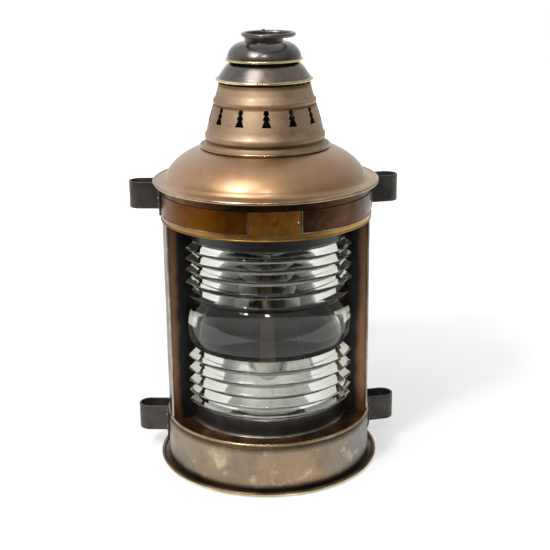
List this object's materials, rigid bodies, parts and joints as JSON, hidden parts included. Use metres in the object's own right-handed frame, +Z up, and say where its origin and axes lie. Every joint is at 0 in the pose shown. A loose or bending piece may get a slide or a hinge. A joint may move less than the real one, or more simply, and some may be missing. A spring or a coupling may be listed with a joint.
{
  "type": "ship lantern",
  "caption": "Copper ship's stern lantern with ribbed dioptric lens, vented chimney with cowls, guide-rod loops, rear lamp door and oil lamp.",
  "frame": {"origin": "centre of the foot ring on the ground plane", "axes": "+Z up along the casing's axis, -Y towards the lens, +X to the right of a viewer in front"},
  "size_m": [0.3142, 0.2626, 0.5071],
  "materials": {
    "copper": "patinated copper sheet, semi-gloss",
    "brass": "aged brass, worn bright on its edges",
    "dark_bronze": "dark bronzed copper, glossy",
    "black_iron": "blackened iron strap, satin",
    "black_paint": "black heat-proof paint, semi-gloss",
    "tinned_inside": "dull tinned sheet",
    "lens_glass": "clear pressed glass with a faint green-grey tint",
    "wick_cotton": "woven cotton",
    "steel": "dull steel"
  },
  "bodies": {
    "casing": {"foot_ring": "brass", "base_plate": "copper", "base_drum": "copper", "casing_shell": "copper", "edge_bead_left": "copper", "edge_bead_right": "copper", "screen_left": "copper", "screen_right": "copper", "tray_floor": "copper", "lens_collar": "black_paint", "lens": "lens_glass", "lens_top_ring": "black_paint", "lens_post_left": "black_paint", "lens_post_right": "black_paint", "top_shield": "tinned_inside", "top_band": "copper", "band_plate_left": "copper", "band_plate_right": "copper", "band_rivets": "steel", "guide_loop_upper_left": "black_iron", "guide_loop_upper_right": "black_iron", "guide_loop_lower_left": "black_iron", "guide_loop_lower_right": "black_iron", "loop_rivets": "black_iron", "hood": "copper", "chimney": "copper", "inner_flue": "tinned_inside", "cowl_lower": "dark_bronze", "cowl_upper": "dark_bronze", "cowl_stays": "dark_bronze", "neck": "dark_bronze", "ring_eye": "dark_bronze", "casing_hinge_leaves": "brass", "hinge_pins": "steel", "catch_screw": "brass", "lamp_seat": "tinned_inside"},
    "door": {"door": "copper", "door_lining": "black_paint", "door_hinge_leaves": "brass", "door_knob": "brass"},
    "door_catch": {"door_catch": "brass"},
    "lifting_ring": {"lifting_ring": "dark_bronze"},
    "lamp": {"lamp_fount": "brass", "lamp_handle": "brass", "burner": "brass", "wick_tube": "brass"},
    "filler_cap": {"filler_cap": "brass"},
    "wick": {"wick": "wick_cotton"},
    "wick_knob": {"wick_spindle": "steel", "wick_knob": "brass"}
  },
  "joints": [
    {"name": "door_swing", "type": "hinge", "parent": "casing", "child": "door", "pos_m": [0.06155, 0.10834, 0.174], "axis": [0, 0, -1], "range_deg": [0, 110]},
    {"name": "catch_turn", "type": "hinge", "parent": "casing", "child": "door_catch", "pos_m": [-0.0665, 0.1024, 0.174], "axis": [-0.5446, 0.8387, 0], "range_deg": [0, 90]},
    {"name": "ring_swing", "type": "hinge", "parent": "casing", "child": "lifting_ring", "pos_m": [0, 0.006, 0.5036], "axis": [-0.993, -0.1184, 0], "range_deg": [0, 180]},
    {"name": "lamp_lift", "type": "slide", "parent": "casing", "child": "lamp", "axis": [0, 0, 1], "range_m": [0, 0.012]},
    {"name": "cap_turn", "type": "hinge", "parent": "lamp", "child": "filler_cap", "pos_m": [-0.024, 0, 0.1165], "axis": [0, 0, 1], "continuous": true},
    {"name": "wick_turn", "type": "hinge", "parent": "lamp", "child": "wick_knob", "pos_m": [0, 0.0042, 0.1176], "axis": [-1, 0, 0], "range_deg": [-140, 190]},
    {"name": "wick_raise", "type": "slide", "parent": "lamp", "child": "wick", "axis": [0, 0, 1], "range_m": [-0.006, 0.008]}
  ],
  "couplings": [
    {"joint": "wick_raise", "follows": "wick_turn", "m_per_rad": 0.0023}
  ]
}
